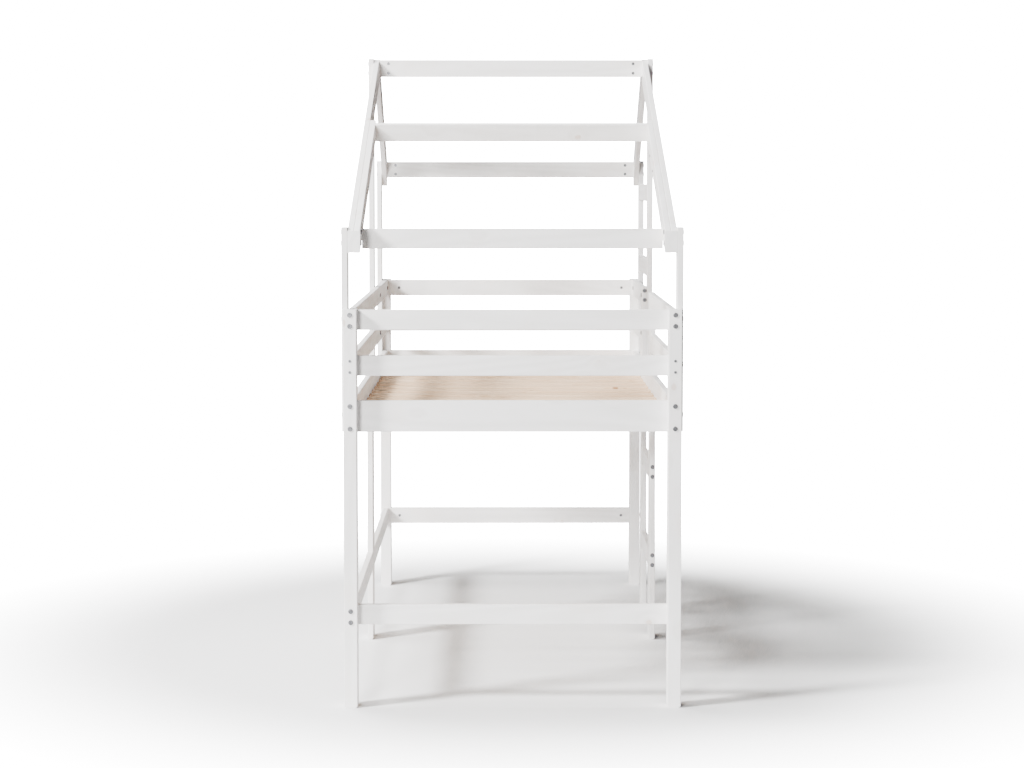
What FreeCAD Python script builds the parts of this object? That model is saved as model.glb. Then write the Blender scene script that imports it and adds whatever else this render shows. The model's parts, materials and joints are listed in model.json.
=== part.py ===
import FreeCAD, Part
import math
import os

# A loft bed for one child: four corner posts, board rails, a slatted base, a
# ladder on the right long side and an open house-shaped roof frame above.
# X runs across the bed (+X is the ladder side), Y along it (-Y is the low
# end of the roof), Z up. The origin is on the floor, under the middle.
# All lengths are in millimetres.

V = FreeCAD.Vector
X_AXIS = V(1, 0, 0)
Y_AXIS = V(0, 1, 0)
Z_AXIS = V(0, 0, 1)

# ---- mattress and stock --------------------------------------------------
MATTRESS_W = 900
MATTRESS_L = 1900
MATTRESS_GAP = 6            # play between the mattress and the boards
BOARD_T = 18                # thickness of every board
BOARD_W = 58                # width of the narrow boards
DEEP_W = 90                 # width of the deep boards, stiles and centre leg
RAFTER_W = 76               # depth of the rafters
POST_W = 38                 # corner post across the bed
POST_D = 58                 # corner post along the bed
EDGE_R = 2                  # rounding of the long edges
FOOT_C = 5                  # chamfer under the feet

# ---- places across the bed -------------------------------------------------
RAIL_IN = (MATTRESS_W + MATTRESS_GAP) / 2       # inner face of the side rails
RAIL_OUT = RAIL_IN + BOARD_T
RAIL_MID = RAIL_IN + BOARD_T / 2
POST_IN = RAIL_MID - POST_W / 2
POST_OUT = RAIL_MID + POST_W / 2
UPRIGHT_OUT = RAIL_OUT + BOARD_T
UPRIGHT_MID = RAIL_OUT + BOARD_T / 2
DOUBLER_IN = RAIL_IN - BOARD_T                  # inner face of the rafter doublers

# ---- places along the bed --------------------------------------------------
POST_Y_IN = (MATTRESS_L + MATTRESS_GAP) / 2     # inner end face of the posts
POST_Y_OUT = POST_Y_IN + POST_D
END_BOARD_Y = POST_Y_IN + BOARD_T / 2           # middle of the end boards
MIDDLE_Y = (-DEEP_W / 2, DEEP_W / 2)            # centre leg and first stile
FAR_STILE_Y = (399, 399 + DEEP_W)
RIDGE_Y = FAR_STILE_Y[0] + BOARD_W / 2
END_UPRIGHT_Y = POST_Y_IN - BOARD_W / 2         # middle of the end uprights
NEAR_EAVE_Y = -862                              # middle of the near eave board
APEX_Y = 469                                    # plumb joint of the rafters

# ---- heights ---------------------------------------------------------------
POST_H = 1140
STILE_H = 1138
TOP_GUARD_Z = 1080
MID_GUARD_Z = 949
DEEP_Z = 788
BOTTOM_Z = 233
RUNG_PITCH = 291
WINDOW_Z = (1174, 1433)
RIDGE_TOP = 1922            # the apex is trimmed level here
APEX_Z = 1935               # where the two roof lines meet
NEAR_UPRIGHT_TOP = 1372
FAR_UPRIGHT_TOP = 1576
NEAR_EAVE_TOP = 1362        # roof line where the long slope ends
NEAR_EAVE_TRIM = 1300       # level cut under the rafters there
FAR_EAVE_TOP = 1579         # roof line where the short slope ends
NEAR_EAVE_Z = 1309
FAR_EAVE_Z = 1515
RIDGE_BOARD_Z = 1861
SLOPE_BOARD_Y = -156        # lower top corner of the board on the long slope
DOUBLER_PAST = 40           # doubler past that corner, along the slope

# ---- slats -----------------------------------------------------------------
SLAT_COUNT = 14
SLAT_W = 70
SLAT_HALF_L = RAIL_IN - 1
LEDGER_TOP = DEEP_Z + BOARD_T
SLAT_TOP = LEDGER_TOP + BOARD_T
SLAT_PITCH = 136

# ---- hardware --------------------------------------------------------------
BOLT_R = 3
BOLT_HOLE_R = 3.3
HEAD_R = 7
HEAD_T = 2.6
SOCKET_AF = 4
SOCKET_DEPTH = 1.6
NUT_R = 5
NUT_HOLE_R = 5.2
NUT_L = 13
NUT_SLOT = 1.2              # notch in the end, to turn the nut by
NUT_INSET = 32              # nut axis from the end of its board
BOLT_PAST_NUT = 6
PAIR = 16                   # half the spacing of a bolt pair
DEEP_PAIR = 32              # the same in a deep board
SCREW_R = 2
SCREW_HOLE_R = 2.05
SCREW_HEAD_R = 4
SCREW_HEAD_T = 1.2
SCREW_RECESS_R = 1
SCREW_RECESS_T = 0.8
COUNTERBORE_R = 4.3
SLAT_SCREW_SUNK = 2         # keeps the slats flat under the mattress
DOWEL_R = 4
DOWEL_L = 40
DOWEL_HOLE_R = 4.05
DOWEL_PAIR = 12
END_DOWEL_PAIR = 7
APEX_DOWELS = (1875, 1900)
NEAR_EAVE_SCREWS = (1345, 1359)
DOUBLER_SCREWS = (200, 330, 460, 590, 720)      # along the slope from the eave
DOUBLER_SCREW_DOWN = 45                         # below the top edge
LEDGER_SCREWS = (-800, -450, -100, 230, 600, 850)
NEAR, FAR = -1, 1
LEFT, RIGHT = -1, 1
SIDE_NAME = {LEFT: "left", RIGHT: "right"}
END_NAME = {NEAR: "near", FAR: "far"}

pieces = {}


# ---- boards ----------------------------------------------------------------
def rounded(shape, along):
    """Round the edges of a board that run along one axis."""
    edges = []
    for edge in shape.Edges:
        if edge.Curve.TypeId == "Part::GeomLine" and abs(edge.Curve.Direction.dot(along)) > 0.999:
            edges.append(edge)
    return shape.makeFillet(EDGE_R, edges)


def span(a, b):
    """Two ends in rising order."""
    return min(a, b), max(a, b)


def board(node, xs, ys, zs, along):
    """One planed board between two places on each axis."""
    x0, x1 = span(*xs)
    y0, y1 = span(*ys)
    z0, z1 = span(*zs)
    box = Part.makeBox(x1 - x0, y1 - y0, z1 - z0, V(x0, y0, z0))
    pieces[node] = rounded(box, along)


def cut(node, tool):
    """Take a tool out of one piece."""
    pieces[node] = pieces[node].cut(tool)


def add_to_group(node, shape):
    """Add one more separate solid to a node that holds several."""
    pieces.setdefault(node, []).append(shape)


def chamfer_foot(node, side, x_in, x_out, y_in, y_out):
    """Take the long edges off the bottom of a leg."""
    for x, inward in ((side * x_in, side), (side * x_out, -side)):
        points = [V(x, y_in, 0), V(x + inward * FOOT_C, y_in, 0), V(x, y_in, FOOT_C), V(x, y_in, 0)]
        wedge = Part.Face(Part.makePolygon(points)).extrude(V(0, y_out - y_in, 0))
        cut(node, wedge)


def side_board(node, side, ys, z, width, along=Y_AXIS):
    """A board of a long side, in the plane of the side rails."""
    board(node, (side * RAIL_IN, side * RAIL_OUT), ys, (z, z + width), along)


def end_board(node, end, z, width):
    """A board across one end, flush with the inner faces of the posts."""
    ys = (end * POST_Y_IN, end * (POST_Y_IN + BOARD_T))
    board(node, (-POST_IN, POST_IN), ys, (z, z + width), X_AXIS)


# ---- hardware --------------------------------------------------------------
def cylinder(radius, length, start, direction):
    return Part.makeCylinder(radius, length, start, direction)


def hexagon(across_flats, start, direction, depth):
    """A six-sided prism, for a key socket."""
    radius = across_flats / math.sqrt(3)
    side_axis = Z_AXIS if abs(direction.z) < 0.9 else X_AXIS
    other_axis = direction.cross(side_axis)
    corners = []
    for k in range(7):
        angle = math.radians(60 * k)
        offset = side_axis * math.cos(angle) + other_axis * math.sin(angle)
        corners.append(start + offset * radius)
    return Part.Face(Part.makePolygon(corners)).extrude(direction * depth)


def bolt_head(point, direction):
    """A low round head with a key socket, seated on a face at point."""
    top = point - direction * HEAD_T
    rim = Part.makeCone(HEAD_R - 0.8, HEAD_R, 0.8, top, direction)
    disc = cylinder(HEAD_R, HEAD_T - 0.8, top + direction * 0.8, direction)
    socket = hexagon(SOCKET_AF, top, direction, SOCKET_DEPTH)
    return rim.fuse(disc).cut(socket).removeSplitter()


def barrel_nut(centre, opening, shank):
    """A cross nut, with its hole open to one face of the board."""
    nut = cylinder(NUT_R, NUT_L, centre - opening * (NUT_L / 2), opening)
    slot = Part.makeBox(NUT_SLOT, NUT_SLOT, NUT_SLOT)
    slot.translate(centre + opening * (NUT_L / 2) - V(NUT_SLOT, NUT_SLOT, NUT_SLOT) * 0.5)
    add_to_group("barrel_nuts", nut.cut(shank).cut(slot))


def nut_hole(node, centre, opening):
    depth = BOARD_T / 2 + 1
    cut(node, cylinder(NUT_HOLE_R, NUT_L / 2 + 0.5 + depth, centre - opening * (NUT_L / 2 + 0.5), opening))


def bolt(group, point, direction, through, into, opening):
    """A headed bolt through some pieces into a barrel nut in another one.

    through is a list of (node, thickness); into is the node with the nut.
    """
    grip = sum(thickness for _, thickness in through)
    length = grip + NUT_INSET + BOLT_PAST_NUT
    shank = cylinder(BOLT_R, length, point, direction)
    hole = cylinder(BOLT_HOLE_R, length + 2, point, direction)
    for node in [name for name, _ in through] + [into]:
        cut(node, hole)
    centre = point + direction * (grip + NUT_INSET)
    nut_hole(into, centre, opening)
    barrel_nut(centre, opening, shank)
    add_to_group(group, shank.fuse(bolt_head(point, direction)).removeSplitter())


def tie_rod(x, z, ys, through, first, second, opening):
    """A headless rod through a stile, with a barrel nut in the board each side."""
    reach = NUT_INSET + BOLT_PAST_NUT
    start = V(x, ys[0] - reach, z)
    length = ys[1] - ys[0] + 2 * reach
    rod = cylinder(BOLT_R, length, start, Y_AXIS)
    hole = cylinder(BOLT_HOLE_R, length + 4, start - Y_AXIS * 2, Y_AXIS)
    for node in (through, first, second):
        cut(node, hole)
    for node, y in ((first, ys[0] - NUT_INSET), (second, ys[1] + NUT_INSET)):
        nut_hole(node, V(x, y, z), opening)
        barrel_nut(V(x, y, z), opening, rod)
    add_to_group("tie_rods", rod)


def sleeve_bolt(group, point, direction, nodes):
    """A bolt that clamps boards of one thickness, with a low sleeve nut inside."""
    length = len(nodes) * BOARD_T
    hole = cylinder(BOLT_HOLE_R, length, point, direction)
    for node in nodes:
        cut(node, hole)
    shank = cylinder(BOLT_R, length, point, direction)
    sleeve = bolt_head(point + direction * length, direction * -1)
    add_to_group(group, shank.fuse(bolt_head(point, direction)).fuse(sleeve).removeSplitter())


def screw(point, direction, length, nodes, sunk=0):
    """A wood screw with a flat head on the face at point; returns its hole.

    sunk is the depth of a counterbore that the head sits in, if it has one.
    """
    seat = point + direction * sunk
    shank = cylinder(SCREW_R, length, seat, direction)
    head = cylinder(SCREW_HEAD_R, SCREW_HEAD_T, seat - direction * SCREW_HEAD_T, direction)
    recess = cylinder(SCREW_RECESS_R, SCREW_RECESS_T, seat - direction * SCREW_HEAD_T, direction)
    hole = cylinder(SCREW_HOLE_R, length + 0.5, seat, direction)
    if sunk:
        hole = hole.fuse(cylinder(COUNTERBORE_R, sunk, point, direction))
    for node in nodes:
        cut(node, hole)
    add_to_group("screws", shank.fuse(head).cut(recess).removeSplitter())
    return hole


def dowel(middle, direction, nodes):
    """A plain wooden pin across the joint of two pieces."""
    start = middle - direction * (DOWEL_L / 2)
    hole = cylinder(DOWEL_HOLE_R, DOWEL_L + 2, start - direction, direction)
    for node in nodes:
        cut(node, hole)
    add_to_group("dowels", cylinder(DOWEL_R, DOWEL_L, start, direction))


# ---- frame -----------------------------------------------------------------
def make_posts():
    for end in (NEAR, FAR):
        for side in (LEFT, RIGHT):
            node = "post_%s_%s" % (END_NAME[end], SIDE_NAME[side])
            xs = (side * POST_IN, side * POST_OUT)
            ys = (end * POST_Y_IN, end * POST_Y_OUT)
            board(node, xs, ys, (0, POST_H), Z_AXIS)
            chamfer_foot(node, side, POST_IN, POST_OUT, min(ys), max(ys))


def make_long_sides():
    """Centre leg, ladder stiles and the rails that meet them."""
    side_board("centre_leg_left", LEFT, MIDDLE_Y, 0, DEEP_Z, Z_AXIS)
    side_board("ladder_stile_near", RIGHT, MIDDLE_Y, 0, STILE_H, Z_AXIS)
    side_board("ladder_stile_far", RIGHT, FAR_STILE_Y, 0, STILE_H, Z_AXIS)
    chamfer_foot("centre_leg_left", LEFT, RAIL_IN, RAIL_OUT, *MIDDLE_Y)
    chamfer_foot("ladder_stile_near", RIGHT, RAIL_IN, RAIL_OUT, *MIDDLE_Y)
    chamfer_foot("ladder_stile_far", RIGHT, RAIL_IN, RAIL_OUT, *FAR_STILE_Y)
    whole = (-POST_Y_IN, POST_Y_IN)
    near = (-POST_Y_IN, MIDDLE_Y[0])
    upper = (("deep_rail", DEEP_Z, DEEP_W), ("mid_guard", MID_GUARD_Z, BOARD_W),
             ("top_guard", TOP_GUARD_Z, BOARD_W))
    for name, z, width in upper:
        side_board(name + "_left", LEFT, whole, z, width)
        side_board(name + "_right_near", RIGHT, near, z, width)
        side_board(name + "_right_far", RIGHT, (FAR_STILE_Y[1], POST_Y_IN), z, width)
    side_board("bottom_rail_left_near", LEFT, near, BOTTOM_Z, BOARD_W)
    side_board("bottom_rail_left_far", LEFT, (MIDDLE_Y[1], POST_Y_IN), BOTTOM_Z, BOARD_W)
    between = (MIDDLE_Y[1], FAR_STILE_Y[0])
    side_board("ladder_step_rail", RIGHT, between, DEEP_Z, DEEP_W)
    side_board("ladder_rung_lower", RIGHT, between, BOTTOM_Z, BOARD_W)
    side_board("ladder_rung_upper", RIGHT, between, BOTTOM_Z + RUNG_PITCH, BOARD_W)


def make_ends():
    for end in (NEAR, FAR):
        name = END_NAME[end]
        end_board("end_deep_board_" + name, end, DEEP_Z, DEEP_W)
        end_board("end_mid_guard_" + name, end, MID_GUARD_Z, BOARD_W)
        end_board("end_top_guard_" + name, end, TOP_GUARD_Z, BOARD_W)
        end_board("end_bottom_rail_" + name, end, BOTTOM_Z, BOARD_W)


def make_slats():
    """Slats across the bed, screwed down to a ledger at both ends."""
    for side in (LEFT, RIGHT):
        xs = (side * DOUBLER_IN, side * RAIL_IN)
        ys = (-POST_Y_IN, POST_Y_IN)
        board("slat_ledger_" + SIDE_NAME[side], xs, ys, (DEEP_Z, LEDGER_TOP), Y_AXIS)
    for k in range(SLAT_COUNT):
        y = (k - (SLAT_COUNT - 1) / 2) * SLAT_PITCH
        corner = V(-SLAT_HALF_L, y - SLAT_W / 2, LEDGER_TOP)
        slat = rounded(Part.makeBox(2 * SLAT_HALF_L, SLAT_W, BOARD_T, corner), X_AXIS)
        for side in (LEFT, RIGHT):
            point = V(side * (RAIL_IN - BOARD_T / 2), y, SLAT_TOP)
            ledger = "slat_ledger_" + SIDE_NAME[side]
            hole = screw(point, Z_AXIS * -1, 30, [ledger], SLAT_SCREW_SUNK)
            slat = slat.cut(hole)
        add_to_group("slats_near" if y < 0 else "slats_far", slat)


# ---- roof ------------------------------------------------------------------
NEAR_SLOPE = math.atan2(APEX_Z - NEAR_EAVE_TOP, APEX_Y + POST_Y_IN)
FAR_SLOPE = math.atan2(APEX_Z - FAR_EAVE_TOP, POST_Y_IN - APEX_Y)


def near_roof_z(y):
    """Height of the long slope's top line."""
    return NEAR_EAVE_TOP + (y + POST_Y_IN) * math.tan(NEAR_SLOPE)


def near_roof_y(z):
    return (z - NEAR_EAVE_TOP) / math.tan(NEAR_SLOPE) - POST_Y_IN


def rafter_board(xs, outline):
    """A board in the plane of a long side, from its outline in Y and Z."""
    x0, x1 = span(*xs)
    points = [V(x0, y, z) for y, z in outline]
    solid = Part.Face(Part.makePolygon(points + points[:1])).extrude(V(x1 - x0, 0, 0))
    long_edges = [edge for edge in solid.Edges if edge.Length > 4 * BOARD_W]
    return solid.makeFillet(EDGE_R, long_edges)


def make_uprights():
    places = (("near", -POST_Y_IN, NEAR_UPRIGHT_TOP), ("ridge", FAR_STILE_Y[0], RIDGE_TOP),
              ("far", POST_Y_IN - BOARD_W, FAR_UPRIGHT_TOP))
    for side in (LEFT, RIGHT):
        for name, y, top in places:
            node = "upright_%s_%s" % (name, SIDE_NAME[side])
            board(node, (side * RAIL_OUT, side * UPRIGHT_OUT), (y, y + BOARD_W), (DEEP_Z, top), Z_AXIS)
    ys = (FAR_STILE_Y[0] + BOARD_W, POST_Y_IN - BOARD_W)
    for name, z in zip(("lower", "upper"), WINDOW_Z):
        board("window_rail_" + name, (RAIL_OUT, UPRIGHT_OUT), ys, (z, z + BOARD_W), Y_AXIS)


def make_rafters():
    """Rafters that meet in a plumb joint, and doublers inside the long ones."""
    near_drop = RAFTER_W / math.cos(NEAR_SLOPE)
    far_drop = RAFTER_W / math.cos(FAR_SLOPE)
    doubler_drop = BOARD_W / math.cos(NEAR_SLOPE)
    far_trim_y = APEX_Y + (APEX_Z - RIDGE_TOP) / math.tan(FAR_SLOPE)
    near_outline = [(-POST_Y_IN, NEAR_EAVE_TRIM), (-POST_Y_IN, NEAR_EAVE_TOP),
                    (near_roof_y(RIDGE_TOP), RIDGE_TOP), (APEX_Y, RIDGE_TOP),
                    (APEX_Y, APEX_Z - near_drop), (near_roof_y(NEAR_EAVE_TRIM + near_drop), NEAR_EAVE_TRIM)]
    far_outline = [(APEX_Y, RIDGE_TOP), (far_trim_y, RIDGE_TOP), (POST_Y_IN, FAR_EAVE_TOP),
                   (POST_Y_IN, FAR_EAVE_TOP - far_drop), (APEX_Y, APEX_Z - far_drop)]
    end_y = SLOPE_BOARD_Y + DOUBLER_PAST * math.cos(NEAR_SLOPE)
    end_z = near_roof_z(end_y)
    doubler_outline = [(-POST_Y_IN, NEAR_EAVE_TOP), (end_y, end_z),
                       (end_y + BOARD_W * math.sin(NEAR_SLOPE), end_z - BOARD_W * math.cos(NEAR_SLOPE)),
                       (-POST_Y_IN, NEAR_EAVE_TOP - doubler_drop)]
    for side in (LEFT, RIGHT):
        name = SIDE_NAME[side]
        rail_plane = (side * RAIL_IN, side * RAIL_OUT)
        pieces["rafter_near_" + name] = rafter_board(rail_plane, near_outline)
        pieces["rafter_far_" + name] = rafter_board(rail_plane, far_outline)
        pieces["rafter_doubler_" + name] = rafter_board((side * DOUBLER_IN, side * RAIL_IN), doubler_outline)


def make_cross_boards():
    half = BOARD_T / 2
    flat_boards = (("ridge_board", RAIL_IN, RIDGE_Y, RIDGE_BOARD_Z),
                   ("eave_board_far", RAIL_IN, END_UPRIGHT_Y, FAR_EAVE_Z),
                   ("eave_board_near", DOUBLER_IN, NEAR_EAVE_Y, NEAR_EAVE_Z))
    for node, reach, y, z in flat_boards:
        board(node, (-reach, reach), (y - half, y + half), (z, z + BOARD_W), X_AXIS)
    # The board on the long slope stands square to the rafters.
    board("slope_board", (-DOUBLER_IN, DOUBLER_IN), (0, BOARD_T), (-BOARD_W, 0), X_AXIS)
    tilted = pieces["slope_board"]
    tilted.rotate(V(0, 0, 0), X_AXIS, math.degrees(NEAR_SLOPE))
    tilted.translate(V(0, SLOPE_BOARD_Y, near_roof_z(SLOPE_BOARD_Y)))


# ---- fastening -------------------------------------------------------------
TOP_MID = TOP_GUARD_Z + BOARD_W / 2
GUARD_MID = MID_GUARD_Z + BOARD_W / 2
DEEP_MID = DEEP_Z + DEEP_W / 2
BOTTOM_MID = BOTTOM_Z + BOARD_W / 2


def rail_at(name, end, side):
    """The node of a side rail that meets the post at this end and side."""
    split = side == RIGHT or name == "bottom_rail"
    tail = "_" + END_NAME[end] if split else ""
    return "%s_%s%s" % (name, SIDE_NAME[side], tail)


def fasten_posts():
    """Bolts, screws and dowels in the four corner posts."""
    pairs = (("top_guard", TOP_MID, PAIR), ("deep_rail", DEEP_MID, DEEP_PAIR),
             ("bottom_rail", BOTTOM_MID, PAIR))
    end_boards = (("end_top_guard", TOP_MID), ("end_deep_board", DEEP_MID), ("end_bottom_rail", BOTTOM_MID))
    for end in (NEAR, FAR):
        for side in (LEFT, RIGHT):
            post = "post_%s_%s" % (END_NAME[end], SIDE_NAME[side])
            inward_y = Y_AXIS * -end
            inward_x = X_AXIS * -side
            for name, z, pair in pairs:
                rail = rail_at(name, end, side)
                if rail in pieces:
                    for dz in (-pair, pair):
                        bolt("frame_bolts", V(side * RAIL_MID, end * POST_Y_OUT, z + dz), inward_y,
                             [(post, POST_D)], rail, inward_x)
            for name, z in end_boards:
                bolt("frame_bolts", V(side * POST_OUT, end * END_BOARD_Y, z), inward_x,
                     [(post, POST_W)], "%s_%s" % (name, END_NAME[end]), inward_y)
            for dz in (-PAIR, PAIR):
                cut_nodes = [post, rail_at("mid_guard", end, side)]
                screw(V(side * RAIL_MID, end * POST_Y_OUT, GUARD_MID + dz), inward_y, POST_D + 30, cut_nodes)
            for dz in (-END_DOWEL_PAIR, END_DOWEL_PAIR):
                dowel(V(side * POST_IN, end * END_BOARD_Y, GUARD_MID + dz), X_AXIS,
                      (post, "end_mid_guard_" + END_NAME[end]))


def fasten_centre_leg():
    for dz in (-PAIR, PAIR):
        tie_rod(-RAIL_MID, BOTTOM_MID + dz, MIDDLE_Y, "centre_leg_left",
                "bottom_rail_left_near", "bottom_rail_left_far", X_AXIS)
    for dy in (-DOWEL_PAIR, DOWEL_PAIR):
        dowel(V(-RAIL_MID, dy, DEEP_Z), Z_AXIS, ("centre_leg_left", "deep_rail_left"))


def fasten_ladder():
    inward = X_AXIS * -1
    for dz in (-DEEP_PAIR, DEEP_PAIR):
        tie_rod(RAIL_MID, DEEP_MID + dz, MIDDLE_Y, "ladder_stile_near",
                "deep_rail_right_near", "ladder_step_rail", inward)
        tie_rod(RAIL_MID, DEEP_MID + dz, FAR_STILE_Y, "ladder_stile_far",
                "ladder_step_rail", "deep_rail_right_far", inward)
    held = (("ladder_rung_lower", BOTTOM_MID, True), ("ladder_rung_upper", BOTTOM_MID + RUNG_PITCH, True),
            ("top_guard_right", TOP_MID, False))
    near_stile = [("ladder_stile_near", DEEP_W)]
    far_stile = [("ladder_stile_far", DEEP_W)]
    for name, z, between in held:
        for dz in (-PAIR, PAIR):
            if between:
                bolt("ladder_bolts", V(RAIL_MID, MIDDLE_Y[0], z + dz), Y_AXIS, near_stile, name, inward)
                bolt("ladder_bolts", V(RAIL_MID, FAR_STILE_Y[1], z + dz), Y_AXIS * -1, far_stile,
                     name, inward)
            else:
                bolt("ladder_bolts", V(RAIL_MID, MIDDLE_Y[1], z + dz), Y_AXIS * -1, near_stile,
                     name + "_near", inward)
                bolt("ladder_bolts", V(RAIL_MID, FAR_STILE_Y[0], z + dz), Y_AXIS, far_stile,
                     name + "_far", inward)
    for dz in (-DOWEL_PAIR, DOWEL_PAIR):
        dowel(V(RAIL_MID, MIDDLE_Y[0], GUARD_MID + dz), Y_AXIS, ("ladder_stile_near", "mid_guard_right_near"))
        dowel(V(RAIL_MID, FAR_STILE_Y[1], GUARD_MID + dz), Y_AXIS,
              ("ladder_stile_far", "mid_guard_right_far"))


def fasten_uprights():
    places = (("near", NEAR, -END_UPRIGHT_Y), ("ridge", FAR, RIDGE_Y), ("far", FAR, END_UPRIGHT_Y))
    for side in (LEFT, RIGHT):
        inward = X_AXIS * -side
        for place, end, y in places:
            upright = "upright_%s_%s" % (place, SIDE_NAME[side])
            for name, z in (("top_guard", TOP_MID), ("mid_guard", GUARD_MID), ("deep_rail", DEEP_MID)):
                on_stile = side == RIGHT and place == "ridge"
                behind = "ladder_stile_far" if on_stile else rail_at(name, end, side)
                sleeve_bolt("frame_bolts", V(side * UPRIGHT_OUT, y, z), inward, [upright, behind])
    for rail, z in zip(("window_rail_lower", "window_rail_upper"), WINDOW_Z):
        for dz in (-DOWEL_PAIR, DOWEL_PAIR):
            height = z + BOARD_W / 2 + dz
            dowel(V(UPRIGHT_MID, FAR_STILE_Y[0] + BOARD_W, height), Y_AXIS, ("upright_ridge_right", rail))
            dowel(V(UPRIGHT_MID, POST_Y_IN - BOARD_W, height), Y_AXIS, ("upright_far_right", rail))


def fasten_roof():
    """Bolts, screws and dowels in the rafters and cross boards."""
    sine, cosine = math.sin(NEAR_SLOPE), math.cos(NEAR_SLOPE)
    for side in (LEFT, RIGHT):
        name = SIDE_NAME[side]
        inward = X_AXIS * -side
        near, far = "rafter_near_" + name, "rafter_far_" + name
        doubler = "rafter_doubler_" + name
        for dz in (-PAIR, PAIR):
            bolt("roof_bolts", V(side * UPRIGHT_OUT, END_UPRIGHT_Y, FAR_EAVE_Z + BOARD_W / 2 + dz), inward,
                 [("upright_far_" + name, BOARD_T), (far, BOARD_T)], "eave_board_far", Y_AXIS * -1)
            bolt("roof_bolts", V(side * UPRIGHT_OUT, RIDGE_Y, RIDGE_BOARD_Z + BOARD_W / 2 + dz), inward,
                 [("upright_ridge_" + name, BOARD_T), (near, BOARD_T)], "ridge_board", Y_AXIS * -1)
            clamp_z = near_roof_z(-END_UPRIGHT_Y) - BOARD_W / 2 / cosine + dz
            sleeve_bolt("roof_bolts", V(side * UPRIGHT_OUT, -END_UPRIGHT_Y, clamp_z), inward,
                        ["upright_near_" + name, near, doubler])
            down = BOARD_W / 2 + dz
            y = SLOPE_BOARD_Y + BOARD_T / 2 * cosine + down * sine
            z = near_roof_z(SLOPE_BOARD_Y) + BOARD_T / 2 * sine - down * cosine
            screw(V(side * RAIL_OUT, y, z), inward, 70, [near, doubler, "slope_board"])
        for z in NEAR_EAVE_SCREWS:
            screw(V(side * RAIL_OUT, NEAR_EAVE_Y, z), inward, 70, [near, doubler, "eave_board_near"])
        for along in DOUBLER_SCREWS:
            y = -POST_Y_IN + along * cosine
            z = near_roof_z(y) - DOUBLER_SCREW_DOWN / cosine
            screw(V(side * DOUBLER_IN, y, z), X_AXIS * side, 30, [doubler, near])
        for z in APEX_DOWELS:
            dowel(V(side * RAIL_MID, APEX_Y, z), Y_AXIS, (near, far))


def fasten_ledgers():
    for side in (LEFT, RIGHT):
        for y in LEDGER_SCREWS:
            holder = rail_at("deep_rail", NEAR if y < 0 else FAR, side)
            if side == RIGHT and 0 < y < FAR_STILE_Y[0]:
                holder = "ladder_step_rail"
            screw(V(side * DOUBLER_IN, y, DEEP_Z + BOARD_T / 2), X_AXIS * side, 30,
                  ["slat_ledger_" + SIDE_NAME[side], holder])


make_posts()
make_long_sides()
make_ends()
make_uprights()
make_rafters()
make_cross_boards()
make_slats()
fasten_posts()
fasten_centre_leg()
fasten_ladder()
fasten_uprights()
fasten_roof()
fasten_ledgers()

os.makedirs("parts", exist_ok=True)
for node, shape in sorted(pieces.items()):
    if isinstance(shape, list):
        shape = Part.makeCompound(shape)
    if not shape.isValid():
        print("not valid:", node)
    print("%-24s solids %3d  volume %9.1f cm3" % (node, len(shape.Solids), shape.Volume / 1000))
    shape.exportStep("parts/%s.step" % node)
print("nodes:", len(pieces))
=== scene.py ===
# %% [markdown]
# # A loft bed with a house frame
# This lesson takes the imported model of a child's loft bed and gives it its
# finishes, its light and its camera. The bed is made of planed pine boards, most
# of them painted white, with bare slats and zinc-plated hardware. Every board is
# already modelled with its rounded edges and drilled holes, so what is left to
# make is the look of the wood, the paint and the metal.

import json
import math

import bpy
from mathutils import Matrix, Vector


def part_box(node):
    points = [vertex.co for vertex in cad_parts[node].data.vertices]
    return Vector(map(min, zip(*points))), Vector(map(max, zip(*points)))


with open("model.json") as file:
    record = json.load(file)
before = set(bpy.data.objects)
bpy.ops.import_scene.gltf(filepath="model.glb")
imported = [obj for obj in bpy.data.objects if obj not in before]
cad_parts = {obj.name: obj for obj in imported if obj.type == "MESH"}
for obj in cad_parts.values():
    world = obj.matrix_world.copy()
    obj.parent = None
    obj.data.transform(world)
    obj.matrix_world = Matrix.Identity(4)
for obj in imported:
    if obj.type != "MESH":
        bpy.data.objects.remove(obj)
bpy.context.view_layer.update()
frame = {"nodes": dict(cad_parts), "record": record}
nodes = frame["nodes"]
print("nodes loaded:", len(nodes))

# %% [markdown]
# ## Writing shader maths as Python
# A procedural finish is a small program, but wiring its nodes by hand hides the
# arithmetic. Wire holds one socket and gives it Python's operators, so 1 - mask
# adds a Math node and returns the result as another Wire. Finish holds one
# material: its make method adds any other kind of node, first its settings and
# then the values or links of its sockets.

# %% A socket with operators
class Wire:
    def __init__(self, finish, socket):
        self.finish = finish
        self.socket = socket

    def maths(self, operation, *terms):
        values = dict(enumerate(terms))
        return self.finish.make("ShaderNodeMath", {"operation": operation}, values)

    def __add__(self, other):
        return self.maths("ADD", self, other)

    def __sub__(self, other):
        return self.maths("SUBTRACT", self, other)

    def __rsub__(self, other):
        return self.maths("SUBTRACT", other, self)

    def __mul__(self, other):
        return self.maths("MULTIPLY", self, other)

    __radd__ = __add__
    __rmul__ = __mul__

    def __abs__(self):
        return self.maths("ABSOLUTE", self)

    def sine(self):
        return self.maths("SINE", self)

    def larger(self, other):
        return self.maths("MAXIMUM", self, other)

    def ramp(self, start, end):
        """0 before start, 1 after end, and a smooth step between them."""
        limits = {"Value": self, "From Min": start, "From Max": end}
        return self.finish.make("ShaderNodeMapRange", {"interpolation_type": "SMOOTHSTEP"}, limits)

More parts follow.
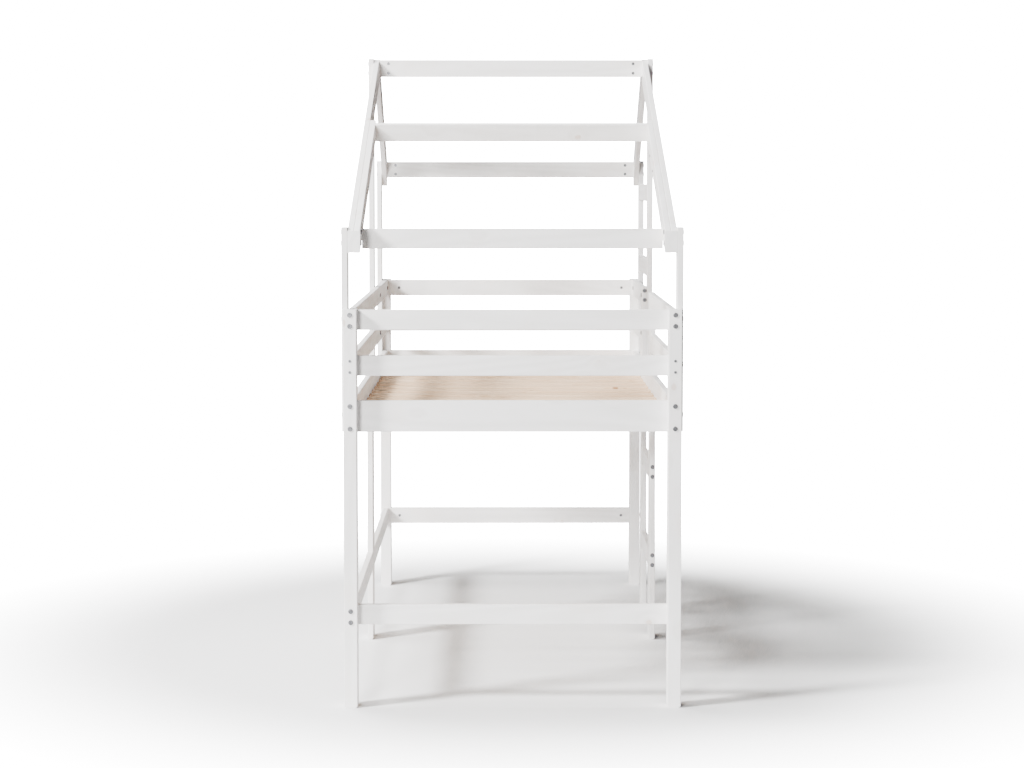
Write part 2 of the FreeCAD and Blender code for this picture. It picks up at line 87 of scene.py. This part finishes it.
# %% A material that makes its own nodes
class Finish:
    def __init__(self, name):
        self.material = bpy.data.materials.new(name)
        self.material.use_nodes = True
        self.tree = self.material.node_tree
        self.shader = self.tree.nodes["Principled BSDF"]

    def put(self, socket, value):
        if isinstance(value, Wire):
            self.tree.links.new(value.socket, socket)
        else:
            socket.default_value = value

    def make(self, kind, settings, values, output=0):
        node = self.tree.nodes.new(kind)
        for name, value in settings.items():
            setattr(node, name, value)
        for name, value in values.items():
            self.put(node.inputs[name], value)
        return Wire(self, node.outputs[output])

    def surface(self, **values):
        """Sockets of the surface shader; Base_Color stands for Base Color."""
        for name, value in values.items():
            self.put(self.shader.inputs[name.replace("_", " ")], value)

    def mix(self, factor, a, b):
        """Two colours mixed: a where factor is 0 and b where it is 1."""
        values = {0: factor, 6: a, 7: b}
        return self.make("ShaderNodeMix", {"data_type": "RGBA"}, values, 2)

    def vector(self, operation, a, b):
        return self.make("ShaderNodeVectorMath", {"operation": operation}, {0: a, 1: b})

    def length(self, vector):
        return self.make("ShaderNodeVectorMath", {"operation": "LENGTH"}, {0: vector}, "Value")

    def place(self):
        """Object coordinates: every piece has its origin at the frame's."""
        return self.make("ShaderNodeTexCoord", {}, {}, "Object")

    def noise(self, where, scale, detail=3.0, roughness=0.55):
        values = {"Vector": where, "Scale": scale, "Detail": detail, "Roughness": roughness}
        return self.make("ShaderNodeTexNoise", {}, values)

    def parts_of(self, vector):
        """The X, Y and Z of a vector, as three Wires."""
        split = self.make("ShaderNodeSeparateXYZ", {}, {0: vector})
        return [Wire(self, socket) for socket in split.socket.node.outputs]

    def bump(self, height, strength, distance):
        values = {"Height": height, "Strength": strength, "Distance": distance}
        return self.make("ShaderNodeBump", {}, values)

# %% [markdown]
# ## Which way the grain runs
# A board is sawn along the trunk, so its grain follows its length. Each finish
# below is drawn with the grain along X, and the object's coordinates are turned
# so that the board's own length lies on that X. A board's longest side gives its
# direction, except for the rafters, which follow the two roof slopes. The tilted
# board on the long slope is square to its rafters, so its box gives that slope.

# %% Turning the coordinates to the board
BOARD_T = 0.018                  # thickness of every board
BOARD_W = 0.058                  # width of the narrow boards
SHORT_SLOPE = math.radians(36.3)


def box_size(name):
    low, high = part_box(name)
    return high - low


tilted = box_size("slope_board")
near_sine = (BOARD_W * tilted.y - BOARD_T * tilted.z) / (BOARD_W ** 2 - BOARD_T ** 2)
near_slope = math.asin(near_sine)
quarter = math.pi / 2
TURNS = {
    "x": (0, 0, 0),
    "y": (0, 0, -quarter),
    "z": (0, quarter, 0),
    "long_slope": (-near_slope, 0, -quarter),
    "short_slope": (SHORT_SLOPE, 0, -quarter),
}
print("long roof slope:", round(math.degrees(near_slope), 2), "degrees")


def grain_of(name):
    """The direction of a board's grain, as a key of TURNS."""
    if name.startswith("rafter_far"):
        return "short_slope"
    if name.startswith("rafter"):
        return "long_slope"
    if name.startswith("slats"):
        return "x"
    size = box_size(name)
    return "xyz"[max(range(3), key=lambda k: size[k])]


def board_place(finish, grain):
    """Object coordinates with the grain along X, and the normal turned alike."""
    place = finish.place()
    normal = finish.make("ShaderNodeNewGeometry", {}, {}, "Normal")
    turn = {"Rotation": TURNS[grain]}
    place = finish.make("ShaderNodeMapping", {"vector_type": "POINT"}, {"Vector": place, **turn})
    normal = finish.make("ShaderNodeMapping", {"vector_type": "VECTOR"}, {"Vector": normal, **turn})
    return place, normal

# %% [markdown]
# ## The figure of pine
# Pine shows three things: fine pale fibres, wide growth bands where the saw met
# the yearly rings at a low angle, and knots where branches left the trunk. A
# noise that is stretched along the grain gives the fibres. The bands are a sine
# wave across the board, pushed to and fro by a slow noise. A Voronoi texture
# scatters the knots as points in space. The distance to the nearest point is
# worked out in metres, so that knots come out nearly round, and it also pushes
# the bands aside around each one.

# %% Knots, bands and fibres
KNOT_CELLS = Vector((4.2, 13.0, 13.0))      # knots to a metre, along and across
KNOT_LONG = Vector((0.7, 1.0, 1.0))         # knots are a little longer along the grain
KNOT_R = 0.0075
KNOT_REACH = 0.035                          # how far a knot bends the bands
BAND_TURN = 149.15                          # radians of the wave for one unit of ring
FIBRE_STRETCH = Vector((0.05, 1.0, 1.0))
BAND_STRETCH = Vector((0.10, 1.0, 1.0))


def knot_distance(finish, place):
    """Distance in metres to the nearest knot's middle, with a ragged edge."""
    cells = finish.vector("MULTIPLY", place, KNOT_CELLS)
    points = {"Vector": cells, "Scale": 1.0}
    nearest = finish.make("ShaderNodeTexVoronoi", {"feature": "F1"}, points, "Position")
    offset = finish.vector("SUBTRACT", cells, nearest)
    metres = finish.vector("DIVIDE", offset, KNOT_CELLS)
    ragged = finish.noise(place, 160.0)
    return finish.length(finish.vector("MULTIPLY", metres, KNOT_LONG)) + (ragged - 0.5) * 0.004


def pine_figure(finish, place):
    """Fibre, streak, band, knot and around-knot masks of a pine board, from 0 to 1."""
    along = finish.vector("MULTIPLY", place, FIBRE_STRETCH)
    fibre = finish.noise(along, 420.0, 4.0, 0.65)
    streak = finish.noise(along, 70.0, 3.0, 0.6)
    knot_at = knot_distance(finish, place)
    around_knot = 1 - knot_at.ramp(0.0, KNOT_REACH)
    waver = finish.noise(finish.vector("MULTIPLY", place, BAND_STRETCH), 3.1, 2.0, 0.5)
    _, y, z = finish.parts_of(place)
    ring = waver * 1.1 + y * 0.6 + z * 0.35 + around_knot * 0.05
    bands = (ring * BAND_TURN + streak * 1.6).sine() * 0.5 + 0.5
    knot = 1 - knot_at.ramp(KNOT_R * 0.75, KNOT_R * 1.3)
    return fibre, streak, bands, knot, around_knot


def edge_mask(finish, normal):
    """1 on the rounded edges, where the surface faces between two of the axes."""
    x, y, z = finish.parts_of(normal)
    flat = abs(x).larger(abs(y)).larger(abs(z))
    return (1 - flat).ramp(0.02, 0.24)

# %% [markdown]
# ## White satin paint
# The frame is sprayed with a thin white satin paint. Thin paint doesn't fill the
# grain: fibres still show as faint lines in the gloss, knots bleed through as
# warm pinkish marks, and on the rounded edges, where hands and packing rub, the
# coat is thinner and a little darker. One colour would look like plastic, so
# each of these is mixed faintly into the paint, and the grain also gives the
# surface a shallow relief.

# %% The painted finish
PAINT = (0.87, 0.855, 0.845, 1)
PAINT_IN_GRAIN = (0.70, 0.685, 0.665, 1)
PAINT_OVER_KNOT = (0.60, 0.475, 0.40, 1)
PAINT_WARM = (0.80, 0.735, 0.69, 1)
PAINT_WORN = (0.60, 0.54, 0.47, 1)


def painted_pine(grain):
    finish = Finish("white satin paint on pine, grain " + grain)
    place, normal = board_place(finish, grain)
    fibre, streak, bands, knot, around_knot = pine_figure(finish, place)
    patches = finish.noise(place, 5.5, 2.0).ramp(0.52, 0.74)
    worn = edge_mask(finish, normal) * finish.noise(place, 38.0, 4.0).ramp(0.42, 0.68)
    colour = finish.mix(bands * 0.32 + fibre.ramp(0.5, 0.75) * 0.30, PAINT, PAINT_IN_GRAIN)
    colour = finish.mix(patches * 0.50, colour, PAINT_WARM)
    colour = finish.mix(knot * 0.55 + around_knot * 0.10, colour, PAINT_OVER_KNOT)
    colour = finish.mix(worn * 0.55, colour, PAINT_WORN)
    drips = finish.noise(place, 22.0, 2.0)
    gloss = 0.37 + fibre * 0.10 + drips * 0.07 + worn * 0.18 + knot * 0.06
    relief = fibre * 0.55 + bands * 0.22 + streak * 0.25 - knot * 0.5
    finish.surface(Base_Color=colour, Roughness=gloss,
                   Normal=finish.bump(relief, 0.22, 0.0007), Specular_IOR_Level=0.42)
    return finish.material

# %% [markdown]
# ## Bare pine slats
# The slats and the ledgers under them are never seen with a mattress on, so they
# are left unpainted. Bare pine is a pale straw colour with darker orange bands,
# red-brown knots and a dry, matt surface with fine saw marks across the fibres.
# The same figure is used as under the paint, at full contrast.

# %% The bare finish
STRAW = (0.74, 0.54, 0.365, 1)
LATE_BAND = (0.58, 0.36, 0.20, 1)
STREAK = (0.58, 0.38, 0.20, 1)
KNOT_BROWN = (0.29, 0.135, 0.06, 1)
KNOT_HALO = (0.60, 0.39, 0.20, 1)


def bare_pine(grain, depth=1.0):
    finish = Finish("bare pine, grain %s, depth %.1f" % (grain, depth))
    place, normal = board_place(finish, grain)
    fibre, streak, bands, knot, around_knot = pine_figure(finish, place)
    colour = finish.mix(bands * (0.50 * depth), STRAW, LATE_BAND)
    colour = finish.mix(streak.ramp(0.45, 0.72) * (0.5 * depth), colour, STREAK)
    colour = finish.mix(around_knot * 0.4, colour, KNOT_HALO)
    colour = finish.mix(knot * 0.85, colour, KNOT_BROWN)
    colour = finish.mix(edge_mask(finish, normal) * 0.25, colour, LATE_BAND)
    across = finish.vector("MULTIPLY", place, Vector((1.0, 0.06, 0.06)))
    saw_marks = finish.noise(across, 520.0, 1.0)
    relief = fibre * 0.7 + bands * 0.35 + saw_marks * 0.2 - knot * 0.3
    finish.surface(Base_Color=colour, Roughness=0.56 + fibre * 0.16 - knot * 0.14,
                   Normal=finish.bump(relief, 0.35, 0.0008), Specular_IOR_Level=0.35)
    return finish.material

# %% [markdown]
# ## Zinc-plated steel
# Bolts, screws and barrel nuts are plated with zinc, which is a soft grey with
# a faint mottle of crystals and duller patches. The turned faces carry fine tool
# marks. The parts are small, so their roughness and mottle matter more than any
# single scratch.

# %% The metal finish
ZINC = (0.20, 0.20, 0.21, 1)
ZINC_DULL = (0.075, 0.076, 0.08, 1)


def zinc_steel():
    finish = Finish("zinc-plated steel")
    place = finish.place()
    points = {"Vector": place, "Scale": 900.0}
    crystals = finish.make("ShaderNodeTexVoronoi", {"feature": "F1"}, points)
    mottle = finish.noise(place, 260.0, 4.0)
    marks = finish.noise(place, 2400.0, 2.0)
    dull = mottle.ramp(0.42, 0.66) * 0.6 + crystals * 0.25
    finish.surface(Base_Color=finish.mix(dull, ZINC, ZINC_DULL), Metallic=1.0 - mottle * 0.12,
                   Roughness=0.30 + mottle * 0.22 + marks * 0.08,
                   Normal=finish.bump(crystals * 0.5 + marks * 0.5, 0.15, 0.0002))
    return finish.material

# %% [markdown]
# ## Giving each piece its finish
# The record names a finish slot for every piece, so the pieces are sorted by
# that slot and not by a list written here. Boards of one finish share a material
# for each grain direction. The pattern is worked out from the place in space, so
# two boards with the same material still show different figure.

# %% Sort the pieces by finish
slot_of = {part["node"]: part["material_slot"] for part in frame["record"]["subparts"]}
made = {}


def finish_for(name):
    slot = slot_of[name]
    grain = None if slot == "zinc_steel" else grain_of(name)
    if (slot, grain) not in made:
        if slot == "zinc_steel":
            made[slot, grain] = zinc_steel()
        elif slot == "white_painted_pine":
            made[slot, grain] = painted_pine(grain)
        else:
            made[slot, grain] = bare_pine(grain, 0.5 if slot == "bare_beech" else 1.0)
    return made[slot, grain]


for name, piece in sorted(nodes.items()):
    material = finish_for(name)
    if piece.material_slots:
        for material_slot in piece.material_slots:
            material_slot.material = material
    else:
        piece.data.materials.append(material)
print("finishes made:", len(made))

# %% [markdown]
# ## A pale floor that fades out
# A studio floor is a sheet of pale card with no visible end. Here it is a disc
# whose surface turns clear towards its rim, so that it has no hard edge against
# the white backdrop. Round the bed it still shows as a slightly darker patch. The
# faint mottle keeps the soft shadows from looking like flat paint.

# %% The floor
FLOOR_R = 9.0
FLOOR_GAP = 0.0005                          # keeps the floor clear of the feet
FADE_START, FADE_END = 1.1, 3.4
PALE = (0.93, 0.93, 0.93, 1)
PALE_LOW = (0.90, 0.90, 0.905, 1)


def pale_floor():
    finish = Finish("pale studio floor")
    place = finish.place()
    mottle = finish.noise(place, 14.0)
    finish.surface(Base_Color=finish.mix(mottle, PALE, PALE_LOW), Roughness=0.7 + mottle * 0.1,
                   Alpha=1 - finish.length(place).ramp(FADE_START, FADE_END))
    return finish.material


bpy.ops.mesh.primitive_circle_add(vertices=96, radius=FLOOR_R, fill_type="TRIFAN")
floor = bpy.context.object
floor.name = "studio floor"
floor.location.z = -FLOOR_GAP
floor.data.materials.append(pale_floor())
print("floor radius:", FLOOR_R, "m")

# %% [markdown]
# ## Soft studio light
# A soft lamp high on the left is the key: it makes the tops of the boards and
# the faces turned to it the brightest, and leaves the inner faces of the left
# boards and the undersides of the rafters in shade. Two weaker lamps, at the
# front and overhead, lift the end of the bed and the deck. The backdrop looks
# white to the camera but lights the bed only faintly, or the shade would wash
# out. The price is that the ladder side and the back are left rather dark.

# %% Lamps and backdrop
def soft_lamp(name, place, aim, size, power):
    data = bpy.data.lights.new(name, "AREA")
    data.shape = "DISK"
    data.size = size
    data.energy = power
    lamp = bpy.data.objects.new(name, data)
    lamp.location = place
    lamp.rotation_euler = (Vector(aim) - Vector(place)).to_track_quat("-Z", "Y").to_euler()
    bpy.context.scene.collection.objects.link(lamp)


BED_MIDDLE = (0, 0, 0.95)
soft_lamp("key", (-5.2, -3.4, 4.6), BED_MIDDLE, 1.3, 1600)
soft_lamp("front", (-2.6, -8.4, 2.2), BED_MIDDLE, 1.8, 1020)
soft_lamp("top", (-1.6, 0.2, 6.4), BED_MIDDLE, 1.6, 520)

FILL = 0.05
BACKDROP = 40.0
world = bpy.data.worlds.new("white backdrop")
bpy.context.scene.world = world
world.use_nodes = True
sky = world.node_tree
backdrop = sky.nodes["Background"]
backdrop.inputs["Color"].default_value = (1, 1, 1, 1)
seen = sky.nodes.new("ShaderNodeLightPath")
level = sky.nodes.new("ShaderNodeMapRange")
level.inputs["To Min"].default_value = FILL
level.inputs["To Max"].default_value = BACKDROP
sky.links.new(seen.outputs["Is Camera Ray"], level.inputs["Value"])
sky.links.new(level.outputs["Result"], backdrop.inputs["Strength"])
print("fill light:", FILL)

# %% [markdown]
# ## The camera
# The bed is looked at from beyond its low end, from above the guard boards and
# below the ridge. A long lens far away keeps the perspective gentle. Leaning
# the camera down makes the posts draw together at the bottom, so part of the
# lean is replaced by a small shift of the lens, and they do so only slightly.
# The camera is also turned a touch towards the ladder.

# %% Place the camera
FOCAL_MM = 79.9
CAMERA_AT = (-0.028, -7.438, 1.51)
SHIFT_Y = -0.08
LEAN, TURN = 3.1, 0.234          # degrees down, and towards the ladder
camera_data = bpy.data.cameras.new("camera")
camera_data.lens = FOCAL_MM
camera_data.sensor_width = 36
camera = bpy.data.objects.new("camera", camera_data)
camera_data.shift_y = SHIFT_Y
camera.location = CAMERA_AT
camera.rotation_euler = (math.radians(90 - LEAN), 0, math.radians(-TURN))
bpy.context.scene.collection.objects.link(camera)
bpy.context.scene.camera = camera
print("camera at:", tuple(round(c, 3) for c in camera.location))
